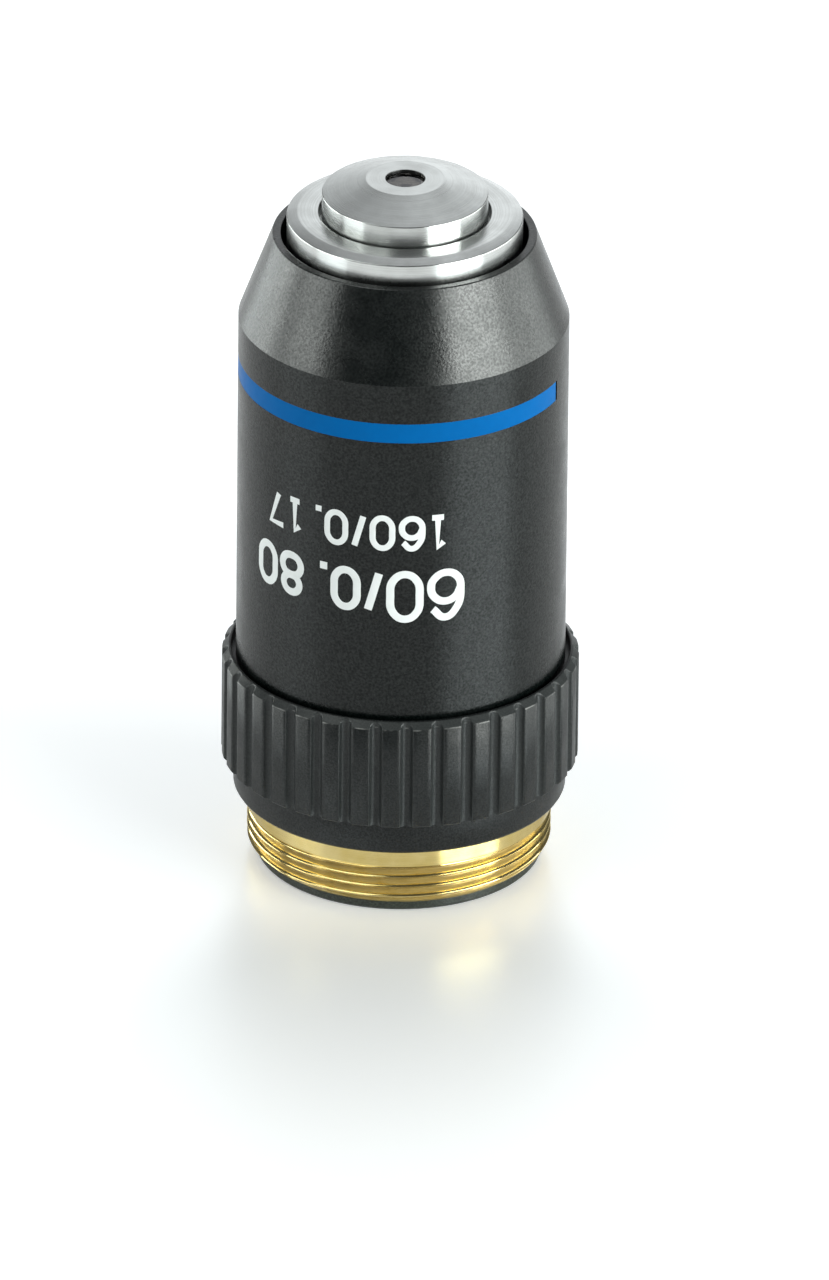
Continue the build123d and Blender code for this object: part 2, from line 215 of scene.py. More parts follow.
def calculate(tree, operation, *operands):
    """Result of one step of arithmetic."""
    step = tree.nodes.new("ShaderNodeMath")
    step.operation = operation
    feed(tree, step.inputs, operands)
    return step.outputs["Value"]


def fade(tree, value, start, end, low=0, high=1, smooth=False):
    """Goes from low to high while a value goes from start to end."""
    ramp = tree.nodes.new("ShaderNodeMapRange")
    if smooth:
        ramp.interpolation_type = "SMOOTHSTEP"
    feed(tree, ramp.inputs, (value, start, end, low, high))
    return ramp.outputs["Result"]


def mixed(tree, share, first, second):
    """Colour between two, by the share of the second."""
    mix = tree.nodes.new("ShaderNodeMix")
    mix.data_type = "RGBA"
    feed(tree, [mix.inputs[name] for name in ("Factor", "A", "B")], (share, first, second))
    return mix.outputs["Result"]


def two_tone(tree, value, ends, first, second):
    """Colour that goes from first to second while a value goes from one end to the other."""
    tone = tree.nodes.new("ShaderNodeValToRGB")
    for stop, end, colour in zip(tone.color_ramp.elements, ends, (first, second)):
        stop.position = end
        stop.color = (*colour, 1)
    tree.links.new(value, tone.inputs["Fac"])
    return tone.outputs["Color"]


def axes(tree, place):
    """X, Y and Z of a place."""
    parts = tree.nodes.new("ShaderNodeSeparateXYZ")
    tree.links.new(place, parts.inputs["Vector"])
    return parts.outputs


def from_axis(tree, place):
    """Distance of a place from the optical axis."""
    across = tree.nodes.new("ShaderNodeVectorMath")
    across.operation = "MULTIPLY"
    across.inputs[1].default_value = (1, 1, 0)
    tree.links.new(place, across.inputs[0])
    radius = tree.nodes.new("ShaderNodeVectorMath")
    radius.operation = "LENGTH"
    tree.links.new(across.outputs["Vector"], radius.inputs[0])
    return radius.outputs["Value"]


def closeness(tree, value, target, full, none):
    """1 where a value is as near to a target as full, down to 0 at none, in millimetres."""
    away = calculate(tree, "ABSOLUTE", calculate(tree, "SUBTRACT", value, target * MM))
    return fade(tree, away, none * MM, full * MM)


def relief(tree, principled, height, strength, depth):
    """Gives a surface a relief with a depth in millimetres."""
    bump = tree.nodes.new("ShaderNodeBump")
    bump.inputs["Strength"].default_value = strength
    bump.inputs["Distance"].default_value = depth * MM
    tree.links.new(height, bump.inputs["Height"])
    tree.links.new(bump.outputs["Normal"], principled.inputs["Normal"])


def anodised(
    name, dark, light, gloss, roughness, grain, depth, sparkle=0.25, worn=None, painted_groove_light=None, brighter=None
):
    """Black finish: two near blacks in fine speckle, with the grain of the blasted metal under it.

    The grain varies the gloss by the share sparkle. Worn is (colour, height, half width) of an edge that
    hands rub bare, painted_groove_light is (colour, radius, half width) of hollows coloured lighter as a
    painted reflection of the light they catch, and brighter is (height, factor) for more gloss above a
    height, all in millimetres.
    """
    material, tree, principled, place = shader(name)
    speckle = grains(tree, place, grain, detail=3)
    cloud = grains(tree, place, cloud_grains * grain, detail=4)
    surface = two_tone(tree, speckle, speckle_tones, dark, light)
    if worn:
        worn_colour, worn_height, worn_half = worn
        line = closeness(tree, axes(tree, place)["Z"], worn_height, 0, worn_half)
        rubbed = calculate(tree, "MULTIPLY", line, fade(tree, cloud, *cloud_wear))
        surface = mixed(tree, rubbed, surface, (*worn_colour, 1))
    # Hollows coloured lighter: a painted reflection, standing for the light that round grooves catch.
    if painted_groove_light:
        groove_highlight_colour, groove_highlight_radius, groove_highlight_half = painted_groove_light
        near, far = groove_highlight_half - groove_highlight_fade, groove_highlight_half + groove_highlight_fade
        lit_groove = closeness(tree, from_axis(tree, place), groove_highlight_radius, near, far)
        surface = mixed(tree, lit_groove, surface, (*groove_highlight_colour, 1))
    tree.links.new(surface, principled.inputs["Base Color"])
    shine = fade(tree, speckle, *speckle_glints, gloss * (1 - sparkle), gloss * (1 + sparkle))
    if brighter:
        bright_height, factor = brighter
        below, above = (bright_height - gloss_fade) * MM, (bright_height + gloss_fade) * MM
        gain = fade(tree, axes(tree, place)["Z"], below, above, 1, factor)
        shine = calculate(tree, "MULTIPLY", shine, gain)
    tree.links.new(shine, principled.inputs["Specular IOR Level"])
    smoothest, roughest = roughness - black_roughness_spread, roughness + black_roughness_spread
    tree.links.new(fade(tree, cloud, *cloud_sheens, smoothest, roughest), principled.inputs["Roughness"])
    relief(tree, principled, speckle, black_relief, depth)
    return material


ring_black = anodised(
    "rear_ring_black", (0.012, 0.016, 0.012), (0.03, 0.037, 0.029),
    gloss=0.5, roughness=0.42, grain=0.12, depth=0.008,
)
ring_radius, ring_foot, ring_top = reach("rear_ring")
flange_top = reach("mount_body")[1]
ring_mesh = turned([
    (ring_aperture_radius, ring_foot),
    (ring_radius - ring_foot_chamfer, ring_foot),
    (ring_radius, ring_foot + ring_foot_chamfer),
    (ring_radius, flange_top),
    (ring_thread_radius, flange_top),
    (ring_thread_radius, ring_top),
    (ring_aperture_radius, ring_top),
])
break_edges(ring_mesh, fine_break)
rear_ring = finish(ring_mesh, "rear_ring_piece", ring_black)
half_slot = ring_slot_width / 2
slot_foot = ring_foot - overrun
slot_roof = ring_foot + ring_slot_depth
cut(rear_ring, [
    block((-ring_slot_end_radius, -half_slot, slot_foot), (0, half_slot, slot_roof)),
    block((0, -half_slot, slot_foot), (ring_slot_end_radius, half_slot, slot_roof)),
])
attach(rear_ring, "mount")
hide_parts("rear_ring")

# Mount body: the brass piece that carries everything. Its rear end has the objective thread, cut up to a
# plain band, and the tube above it holds the grip ring and the sleeve outside and guides the nose
# inside. The thread is a single right-hand helix, 36 turns to the inch, with rounded crests and roots.
thread_pitch = 25.4 / 36
thread_depth = 0.452
thread_columns = 180
thread_rows_per_turn = 12
thread_turn = 0.3               # how far the start of the thread is turned, in pitches
thread_lead = 1.5               # turns below the foot and in all past both ends, which are cut off
thread_spare = 3
thread_end_chamfer = 0.6
plain_band_height = 1.42
crest_drop = 0.03               # the crests lie a little lower than the plain band
register_radius = 10.0
register_depth = 0.4
spring_bore_radius = 8.6
guide_bore_radius = 7.86
guide_bore_length = 4.0
grip_seat_radius = 9.7
sleeve_seat_radius = 9.5
screw_hole_radius = 0.62
screw_hole_length = 3.0
root_dirt_depth = 0.24          # how far below the crests the dirt in the thread begins
root_dirt_fade = 0.2
root_dirt_patchiness = 0.7
root_dirt = (0.36, 0.255, 0.08)
brass_yellow = (0.87, 0.7, 0.32)
brass_tint = (0.74, 0.56, 0.19)
smallest = 0.001                # a length that is too small to show
stain_size = 1.6
metal_tones = (0.4, 0.6)        # stretches of the noise over which the bare metal changes
metal_sheens = (0.35, 0.65)
coat_patches = (0.35, 0.6)
metal_relief = 0.5
metal_rougher = 0.05
metal_smoother = 0.04


def turned_metal(name, colour, tint, roughness, marks, depth, anisotropy, coat=None):
    """Metal off the lathe: rings of fine tool marks that follow radius and height, in two tints.

    A coat is (radius, fade, patchiness, colour): a dull colour without metal, such as dirt, that lies
    inside a radius in millimetres.
    """
    material, tree, principled, place = shader(name)
    principled.inputs["Metallic"].default_value = 1
    principled.inputs["Anisotropic"].default_value = anisotropy
    principled.inputs["Anisotropic Rotation"].default_value = 0.25
    radius = from_axis(tree, place)
    lathe = tree.nodes.new("ShaderNodeCombineXYZ")
    tree.links.new(radius, lathe.inputs["X"])
    tree.links.new(axes(tree, place)["Z"], lathe.inputs["Z"])
    tool = grains(tree, lathe.outputs["Vector"], marks, detail=3)
    stain = grains(tree, place, stain_size, detail=6)
    blend = calculate(tree, "MULTIPLY", calculate(tree, "ADD", tool, stain), 0.5)
    surface = two_tone(tree, blend, metal_tones, tint, colour)
    if coat:
        coat_radius, coat_fade, patchiness, coat_colour = coat
        bare, full = (coat_radius + coat_fade / 2) * MM, (coat_radius - coat_fade / 2) * MM
        inside = fade(tree, radius, bare, full, smooth=True)
        covered = calculate(tree, "MULTIPLY", inside, fade(tree, stain, *coat_patches, 1 - patchiness))
        surface = mixed(tree, covered, surface, (*coat_colour, 1))
        tree.links.new(fade(tree, covered, 0, 1, 1, 0), principled.inputs["Metallic"])
    tree.links.new(surface, principled.inputs["Base Color"])
    roughest, smoothest = roughness + metal_rougher, roughness - metal_smoother
    tree.links.new(fade(tree, blend, *metal_sheens, roughest, smoothest), principled.inputs["Roughness"])
    relief(tree, principled, tool, metal_relief, depth)
    way = tree.nodes.new("ShaderNodeTangent")
    way.direction_type = "RADIAL"
    way.axis = "Z"
    tree.links.new(way.outputs["Tangent"], principled.inputs["Tangent"])
    return material


def rotate(mesh, angle, axis):
    """Turns a mesh by an angle about X, Y or Z."""
    bmesh.ops.rotate(mesh, cent=(0, 0, 0), matrix=Matrix.Rotation(angle, 3, axis), verts=mesh.verts)


def rod(radius, length, middle, edge_break=0):
    """Round bar along Y about its middle, in millimetres."""
    mesh = bmesh.new()
    bmesh.ops.create_cone(mesh, cap_ends=True, segments=32, radius1=radius, radius2=radius, depth=length)
    if edge_break:
        break_edges(mesh, edge_break, steepest=60)
    rotate(mesh, radians(90), "X")
    bmesh.ops.translate(mesh, vec=middle, verts=mesh.verts)
    return mesh


def turn_down(mesh, largest):
    """Brings what stands out past the largest radius at its height in to that radius."""
    for vertex in mesh.verts:
        radius = vertex.co.xy.length
        share = largest(vertex.co.z) / radius
        if share < 1:
            bmesh.ops.scale(mesh, vec=(share, share, 1), verts=[vertex])


def add_core(mesh, outline, levels):
    """Adds the turned rest of a piece to its cut outside, and fills the flats between them at levels."""
    core_mesh = turned(outline, closed=False)
    core_data = bpy.data.meshes.new("core")
    core_mesh.to_mesh(core_data)
    core_mesh.free()
    mesh.from_mesh(core_data)
    bpy.data.meshes.remove(core_data)
    for level in levels:
        rims = [
            edge
            for edge in mesh.edges
            if edge.is_boundary and all(abs(vertex.co.z - level) < smallest for vertex in edge.verts)
        ]
        bmesh.ops.triangle_fill(mesh, edges=rims, use_beauty=True, normal=(0, 0, 1))


thread_radius, brass_foot, body_top = reach("mount_body")
brass = turned_metal(
    "mount_brass", brass_yellow, brass_tint, roughness=0.17, marks=0.05, depth=0.003, anisotropy=0.7,
    coat=(thread_radius - root_dirt_depth, root_dirt_fade, root_dirt_patchiness, root_dirt),
)
shoulder = reach("grip_ring")[1]
sleeve_foot = reach("outer_sleeve")[1]
band_foot = shoulder - plain_band_height
guide_stop = body_top - guide_bore_length
row_height = thread_pitch / thread_rows_per_turn
row_count = round((band_foot - brass_foot) / row_height) + thread_spare * thread_rows_per_turn
row_start = brass_foot - (thread_lead + thread_turn) * thread_pitch
rows = []
for row in range(row_count + 1):
    crest = (1 + cos(tau * row / thread_rows_per_turn)) / 2
    radius = thread_radius - crest_drop - thread_depth * (1 - crest)
    rows.append((radius, 0, row_start + row * row_height))
thread_mesh = bmesh.new()
wire(thread_mesh, rows)
sweep(thread_mesh, tau, thread_columns, dvec=(0, 0, thread_pitch / thread_columns))
bmesh.ops.remove_doubles(thread_mesh, verts=thread_mesh.verts, dist=smallest)
for level, upwards in ((brass_foot, -1), (band_foot, 1)):
    bmesh.ops.bisect_plane(
        thread_mesh,
        geom=thread_mesh.verts[:] + thread_mesh.edges[:] + thread_mesh.faces[:],
        plane_co=(0, 0, level),
        plane_no=(0, 0, upwards),
        clear_outer=True,
    )
turn_down(thread_mesh, lambda height: thread_radius - max(0, thread_end_chamfer - (height - brass_foot)))
core = [
    (spring_bore_radius, brass_foot),
    (spring_bore_radius, guide_stop),
    (guide_bore_radius, guide_stop),
    (guide_bore_radius, body_top),
    (sleeve_seat_radius, body_top),
    (sleeve_seat_radius, sleeve_foot),
    (grip_seat_radius, sleeve_foot),
    (grip_seat_radius, shoulder + register_depth),
    (register_radius, shoulder + register_depth),
    (register_radius, shoulder),
    (thread_radius, shoulder),
    (thread_radius, band_foot + 2 * fine_break),
    (thread_radius, band_foot + fine_break),
    (thread_radius - crest_drop / 2, band_foot),
]
add_core(thread_mesh, core, (brass_foot, band_foot))
mount_body = finish(thread_mesh, "mount_body_piece", brass, smooth_angle=50)
screw_height = sum(reach("guide_screw")[1:]) / 2
cut(mount_body, [rod(screw_hole_radius, screw_hole_length, (0, sleeve_seat_radius, screw_height))])
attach(mount_body, "mount")
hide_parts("mount_body")

# Grip ring: black anodised aluminium. The lands are turned with a 45 degree chamfer at the top, and 36
# half-round finger grooves are milled along them, so that each groove ends in an arch on the chamfer.
# Below them is a plain collar whose lower face seats on the nosepiece.
groove_count = 36
groove_radius = 0.42
groove_start_angle = 2.3        # degrees, round from +X
groove_columns = 12
land_columns = 5
land_chamfer = 0.49
land_foot_chamfer = 0.15
groove_edge_break = 0.045
collar_radius = 11.06
collar_height = 2.3
collar_chamfer = 0.22
collar_chamfer_swell = 0.04     # how far up the middle of that chamfer lies, so that it is rounded
recess_radius = 11.27
seat_play = 0.02
register_lead = 0.16            # chamfer that leads the ring on to its register
chamfer_rows = 9
worn_metal = (0.3, 0.3, 0.29)
worn_half = 0.07                # the rubbed line along the top of the lands
# Painted reflection: the grooves are coloured lighter for the light that their round hollows catch.
painted_groove_highlight = (0.027, 0.03, 0.03)
groove_highlight_half = 0.2
land_radius, grip_foot, grip_top = reach("grip_ring")
chamfer_foot = grip_top - land_chamfer
grip_black = anodised(
    "grip_black", (0.002, 0.003, 0.003), (0.007, 0.0085, 0.009),
    gloss=0.36, roughness=0.38, grain=0.12, depth=0.012,
    worn=(worn_metal, chamfer_foot, worn_half),
    painted_groove_light=(painted_groove_highlight, land_radius - groove_radius + groove_highlight_half, groove_highlight_half),
)
land_foot = grip_foot + collar_height
land_foot_top = land_foot + land_foot_chamfer
sector = tau / groove_count
plan = []
groove_half = pi / 2 - groove_radius / (2 * land_radius)
for step in range(groove_columns + 1):
    turn = groove_half * (2 * step / groove_columns - 1)
    plan.append((land_radius - groove_radius * cos(turn), groove_radius * sin(turn)))
plan[0] = (plan[0][0] - groove_edge_break, plan[0][1])
plan[-1] = (plan[-1][0] - groove_edge_break, plan[-1][1])
land_start = asin(groove_radius / land_radius) + groove_edge_break / land_radius
land_sweep = sector - 2 * land_start
for step in range(land_columns + 1):
    turn = land_start + land_sweep * step / land_columns
    plan.append((land_radius * cos(turn), land_radius * sin(turn)))
plan.append(Matrix.Rotation(sector, 2) @ Vector(plan[0]))
grip_mesh = bmesh.new()
wire(grip_mesh, [(x, y, land_foot) for x, y in plan])
rotate(grip_mesh, radians(groove_start_angle), "Z")
sweep(grip_mesh, tau, groove_count, use_duplicate=True)
bmesh.ops.remove_doubles(grip_mesh, verts=grip_mesh.verts, dist=smallest)
rises = [land_foot_chamfer, chamfer_foot - land_foot_top]
rises += [land_chamfer / chamfer_rows] * chamfer_rows
rim = grip_mesh.edges[:]
for rise in rises:
    grown = bmesh.ops.extrude_edge_only(grip_mesh, edges=rim)["geom"]
    top = [part for part in grown if isinstance(part, bmesh.types.BMVert)]
    rim = [part for part in grown if isinstance(part, bmesh.types.BMEdge)]
    bmesh.ops.translate(grip_mesh, vec=(0, 0, rise), verts=top)
turn_down(grip_mesh, lambda height: land_radius - max(0, height - chamfer_foot, land_foot_top - height))
core = [
    (land_radius - land_chamfer - fine_break, grip_top),
    (recess_radius, grip_top - fine_break),
    (recess_radius, sleeve_foot),
    (grip_seat_radius + seat_play, sleeve_foot),
    (grip_seat_radius + seat_play, shoulder + register_depth),
    (register_radius + seat_play, shoulder + register_depth),
    (register_radius + seat_play, shoulder + register_lead),
    (register_radius + seat_play + register_lead, shoulder),
    (collar_radius - collar_chamfer, shoulder),
    (collar_radius - collar_chamfer / 2, shoulder + collar_chamfer_swell),
    (collar_radius, shoulder + collar_chamfer),
    (collar_radius, land_foot),
]
add_core(grip_mesh, core, (land_foot, grip_top))
grip_ring = finish(grip_mesh, "grip_ring_piece", grip_black, smooth_angle=50)
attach(grip_ring, "mount")
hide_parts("grip_ring")

# Outer sleeve: black anodised aluminium tube over the body, blasted before it was anodised. It narrows
# in a plain cone to the mouth, where a short lip is left round the bore, and a shallow groove is
# turned round it for the coloured band, with a short stretch left uncut.
sleeve_bore_radius = 9.52
lip_outer_radius = 8.73
mouth_radius = 8.19
cone_height = 6.0
inner_cone_lift = 1.1
lip_depth = 0.85
enamel_depth = 0.12
band_gap_angle = 20.0
band_gap_direction = 77.0       # degrees, round from the front towards +X
band_groove_run = 0.004         # how far the groove's walls lean
sleeve_edge_break = 0.06
sleeve_columns = 180
mouth_corner = 15               # degrees from which an edge at the mouth is a corner
sleeve_skin = 0.1               # what lies this near to the outer radius is the outside
cone_gloss = 2.0                # the cone is blasted coarser, and shines more than the tube below it
sleeve_radius = reach("outer_sleeve")[0]
mouth = reach("outer_sleeve")[2]
band_radius, band_low, band_high = reach("colour_band")
cone_foot = mouth - cone_height
sleeve_black = anodised(
    "sleeve_black", (0.0, 0.001, 0.001), (0.003, 0.005, 0.0045),
    gloss=0.32, roughness=0.28, grain=0.16, depth=0.022, sparkle=0.28,
    brighter=(cone_foot, cone_gloss),
)
sleeve_mesh = turned(
    [
        (sleeve_bore_radius, sleeve_foot),
        (sleeve_radius, sleeve_foot),
        (sleeve_radius, band_low),
        (sleeve_radius, band_high),
        (sleeve_radius, cone_foot),
        (lip_outer_radius, mouth),
        (mouth_radius, mouth),
        (mouth_radius, mouth - lip_depth),
        (sleeve_bore_radius, cone_foot + inner_cone_lift),
    ],
    sleeve_columns,
)
bmesh.ops.recalc_face_normals(sleeve_mesh, faces=sleeve_mesh.faces)
gap_middle = radians(band_gap_direction - 90)


def under_band(face):
    """Whether a face of the sleeve lies in the stretch that carries the band."""
    middle = face.calc_center_median()
    from_gap = middle.xy.angle(Vector((cos(gap_middle), sin(gap_middle))))
    outside = middle.xy.length > sleeve_radius - sleeve_skin
    return outside and band_low < middle.z < band_high and from_gap > radians(band_gap_angle / 2)


def at_mouth(edge):
    """Whether an edge of the sleeve is a corner of its mouth."""
    above_cone_foot = all(vertex.co.z > cone_foot + smallest for vertex in edge.verts)
    return above_cone_foot and edge.calc_face_angle(0) > radians(mouth_corner)


bmesh.ops.inset_region(
    sleeve_mesh,
    faces=[face for face in sleeve_mesh.faces if under_band(face)],
    thickness=band_groove_run,
    depth=-enamel_depth,
    use_even_offset=True,
)
bevel(sleeve_mesh, [edge for edge in sleeve_mesh.edges if at_mouth(edge)], sleeve_edge_break)
outer_sleeve = finish(sleeve_mesh, "outer_sleeve_piece", sleeve_black)
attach(outer_sleeve, "mount")
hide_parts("outer_sleeve")

# Colour band: blue enamel run into the groove of the sleeve, wiped level and baked. It says which power
# the objective has by its colour alone, and ends square at the short gap.
band_columns = 170
enamel_play = 0.006
enamel_drop = 0.006             # the enamel shrinks a little below the sleeve as it bakes
enamel_ripple = 0.6             # size of the ripples in it, and their depth
enamel_ripple_depth = 0.003
enamel_relief = 0.3
enamel_gloss = 0.05
enamel_roughness_spread = 0.05
blue = (0.0, 0.122, 0.39)
deep_blue = (0.0, 0.106, 0.345)


def enamel(name, colour, deep, roughness):
    """Baked paint: one colour that is a little deeper where it is thick, with a faint ripple."""
    material, tree, principled, place = shader(name)
    principled.inputs["Specular IOR Level"].default_value = enamel_gloss
    pool = grains(tree, place, enamel_ripple, detail=3)
    tree.links.new(mixed(tree, pool, (*colour, 1), (*deep, 1)), principled.inputs["Base Color"])
    smoothest, roughest = roughness - enamel_roughness_spread, roughness + enamel_roughness_spread
    tree.links.new(fade(tree, pool, 0, 1, smoothest, roughest), principled.inputs["Roughness"])
    relief(tree, principled, pool, enamel_relief, enamel_ripple_depth)
    return material


band_blue = enamel("band_enamel", blue, deep_blue, roughness=0.36)
band_mesh = bmesh.new()
band_floor = band_radius - enamel_depth + enamel_play
band_face = band_radius - enamel_drop
section = [
    (band_floor, 0, band_low + enamel_play),
    (band_face, 0, band_low + enamel_play),
    (band_face, 0, band_high - enamel_play),
    (band_floor, 0, band_high - enamel_play),
]
band_mesh.faces.new([band_mesh.verts.new(corner) for corner in section])
band_sweep = tau - radians(band_gap_angle) - 2 * enamel_play / band_radius
rotate(band_mesh, gap_middle + (tau - band_sweep) / 2, "Z")
sweep(band_mesh, band_sweep, band_columns)
colour_band = finish(band_mesh, "colour_band_piece", band_blue)
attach(colour_band, "mount")
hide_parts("colour_band")

# Figures: engraved in the sleeve with a round cutter and filled with white paint, so that every stroke
# has one width. They read the right way up with the objective on a microscope, nose down. They are
# plain optical figures: power and aperture in the large row, tube and cover glass in the small one.
figure_gap = 0.22
paint_rise = 0.012
stroke_cuts = 7                 # cuts across a long straight stroke, so that it bends round the sleeve
white = (0.86, 0.88, 0.88)
deep_white = (0.78, 0.8, 0.8)
figure_oval = [
    (0, 0.5), (0.06, 0.86), (0.295, 1), (0.53, 0.86), (0.59, 0.5), (0.53, 0.14), (0.295, 0), (0.06, 0.14),
]
figure_hook = [
    (0.58, 0.8), (0.33, 1), (0.09, 0.82), (0, 0.42), (0.07, 0.12), (0.31, 0), (0.55, 0.12), (0.62, 0.33),
    (0.54, 0.54), (0.32, 0.64), (0.11, 0.55), (0.01, 0.36),
]
figure_upper_eye = [(0.29, 0.54), (0.07, 0.65), (0.07, 0.88), (0.29, 1), (0.51, 0.88), (0.51, 0.65)]
figure_lower_eye = [(0.29, 0.53), (0.04, 0.42), (0.04, 0.12), (0.29, 0), (0.54, 0.12), (0.54, 0.42)]
# Each figure has its width and its strokes, in heights of the figure.
figure_shapes = {
    "0": (0.59, [("loop", figure_oval)]),
    "1": (0.36, [("line", [(0, 0.82), (0.18, 1), (0.18, 0)]), ("line", [(0, 0), (0.36, 0)])]),
    "6": (0.62, [("curve", figure_hook)]),
    "7": (0.56, [("line", [(0, 1), (0.56, 1), (0.2, 0)])]),
    "8": (0.58, [("loop", figure_upper_eye), ("loop", figure_lower_eye)]),
    "/": (0.27, [("line", [(0, 0), (0.27, 1)])]),
    ".": (0.02, [("line", [(-0.09, 0), (0.11, 0)])]),
    " ": (0.1, []),
}
figure_white = enamel("figure_white", white, deep_white, roughness=0.5)


def figure_row(name, groups, stroke, start_direction, baseline):
    """Row of painted strokes laid round the sleeve, upside down, from groups of (text, height)."""
    curve = bpy.data.curves.new(name, "CURVE")
    curve.dimensions = "3D"
    curve.resolution_u = 8
    curve.bevel_depth = stroke / 2
    curve.bevel_resolution = 2
    curve.use_fill_caps = True
    pen = stroke / 2
    for text, height in groups:
        tall = height - stroke
        for figure in text:
            width, strokes = figure_shapes[figure]
            for form, points in strokes:
                spline = curve.splines.new("BEZIER")
                spline.bezier_points.add(len(points) - 1)
                spline.use_cyclic_u = form == "loop"
                handle = "VECTOR" if form == "line" else "AUTO"
                for knot, (along, rise) in zip(spline.bezier_points, points):
                    knot.co = (pen + along * tall, stroke / 2 + rise * tall, 0)
                    knot.handle_left_type = knot.handle_right_type = handle
            pen += width * tall + stroke + figure_gap
    sketch = bpy.data.objects.new(name, curve)
    bpy.context.scene.collection.objects.link(sketch)
    row_mesh = bmesh.new()
    row_mesh.from_mesh(applied(sketch))
    bpy.data.objects.remove(sketch)
    long_edges = [edge for edge in row_mesh.edges if edge.calc_length() > figure_gap]
    bmesh.ops.subdivide_edges(row_mesh, edges=long_edges, cuts=stroke_cuts, use_grid_fill=True)
    for vertex in row_mesh.verts:
        along, rise, lift = vertex.co
        turn = radians(start_direction - 90) - along / sleeve_radius
        radius = sleeve_radius + paint_rise * lift / (stroke / 2)
        vertex.co = (radius * cos(turn), radius * sin(turn), baseline - rise)
    piece = finish(row_mesh, name, figure_white, smooth_angle=80)
    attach(piece, "mount")


large_row = [("60", 3.83), ("/0. 80", 3.24)]
small_row = [("160/0. 17", 2.62)]
figure_row("power_figures", large_row, stroke=0.54, start_direction=22.5, baseline=25.93)
figure_row("tube_figures", small_row, stroke=0.42, start_direction=15.8, baseline=29.97)

# Guide screw: headless steel screw through the wall of the body, under the sleeve, with its tip in the
# keyway of the nose. It is turned and slotted, and is put in before the sleeve goes over it.
screw_slot_width = 0.25
screw_slot_depth = 0.3
screw_steel = turned_metal(
    "screw_steel", (0.5, 0.5, 0.49), (0.4, 0.4, 0.39), roughness=0.3, marks=0.03, depth=0.002, anisotropy=0
)
screw_radius = reach("guide_screw")[0]
screw_tip, screw_head = (corner[1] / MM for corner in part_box("guide_screw"))
screw_middle = (0, (screw_head + screw_tip) / 2, screw_height)
screw_mesh = rod(screw_radius, screw_head - screw_tip, screw_middle, fine_break)
guide_screw = finish(screw_mesh, "guide_screw_piece", screw_steel)
half_slot = screw_slot_width / 2
cut(guide_screw, [
    block(
        (-overrun, screw_head - screw_slot_depth, screw_height - half_slot),
        (overrun, screw_head + overrun, screw_height + half_slot),
    )
])
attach(guide_screw, "mount")
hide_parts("guide_screw")

# Return spring: hard drawn steel wire in seven open turns round the rear tube, between the rear ring and
# the stop collar of the nose. It shortens as the nose is pushed in.
wire_radius = 0.35
wire_sides = 12
spring_turns = 7
spring_columns = 40
spring_steel = turned_metal(
    "spring_steel", (0.55, 0.55, 0.54), (0.42, 0.42, 0.41),
    roughness=0.28, marks=0.04, depth=0.002, anisotropy=0,
)
spring_outer, spring_foot, spring_top = reach("return_spring")
spring_mesh = bmesh.new()
bmesh.ops.create_circle(spring_mesh, segments=wire_sides, radius=wire_radius, cap_ends=True)
rotate(spring_mesh, radians(90), "X")
wire_start = (spring_outer - wire_radius, 0, spring_foot + wire_radius)
bmesh.ops.translate(spring_mesh, vec=wire_start, verts=spring_mesh.verts)
spring_rise = spring_top - spring_foot - 2 * wire_radius
spring_steps = spring_turns * spring_columns
sweep(spring_mesh, tau * spring_turns, spring_steps, dvec=(0, 0, spring_rise / spring_steps))
return_spring = finish(spring_mesh, "return_spring_piece", spring_steel, smooth_angle=60)
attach(return_spring, "mount")
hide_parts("return_spring")
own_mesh(return_spring)

# Lens barrel: the sliding tube of the nose, turned from free-cutting steel. Its end stands out of the
# mouth with a flat chamfer, and a narrow groove is turned round the place of the front cell.
# Lower down are the stop collar with its keyway and the long tube that holds the lens stack.
barrel_chamfer_width = 0.69
barrel_chamfer_height = 0.28
cap_recess_radius = 5.72
cap_recess_depth = 1.0
cap_bore_radius = 5.02
stack_bore_radius = 6.3
nose_radius = 7.81
rear_tube_radius = 7.0
keyway_half_width = 0.65
keyway_depth = 1.1
barrel_steel = turned_metal(
    "barrel_steel", (0.7, 0.715, 0.705), (0.6, 0.61, 0.6),
    roughness=0.22, marks=0.07, depth=0.0025, anisotropy=0.75,
)
collar_outer, tube_foot, barrel_end = reach("lens_barrel")
stack_top = reach("middle_cell")[2]
collar_foot = spring_top
collar_top = guide_stop
barrel_mesh = turned([
    (stack_bore_radius, tube_foot),
    (rear_tube_radius, tube_foot),
    (rear_tube_radius, collar_foot),
    (collar_outer, collar_foot),
    (collar_outer, collar_top),
    (nose_radius, collar_top),
    (nose_radius, barrel_end - barrel_chamfer_height),
    (nose_radius - barrel_chamfer_width, barrel_end),
    (cap_recess_radius, barrel_end),
    (cap_recess_radius, barrel_end - cap_recess_depth),
    (cap_bore_radius, barrel_end - cap_recess_depth),
    (cap_bore_radius, stack_top),
    (stack_bore_radius, stack_top),
])
break_edges(barrel_mesh, fine_break, steepest=15)
lens_barrel = finish(barrel_mesh, "lens_barrel_piece", barrel_steel)
cut(lens_barrel, [
    block(
        (-keyway_half_width, collar_outer - keyway_depth, collar_foot - smallest),
        (keyway_half_width, collar_outer + overrun, collar_top + smallest),
    )
])
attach(lens_barrel, "nose")
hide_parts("lens_barrel")

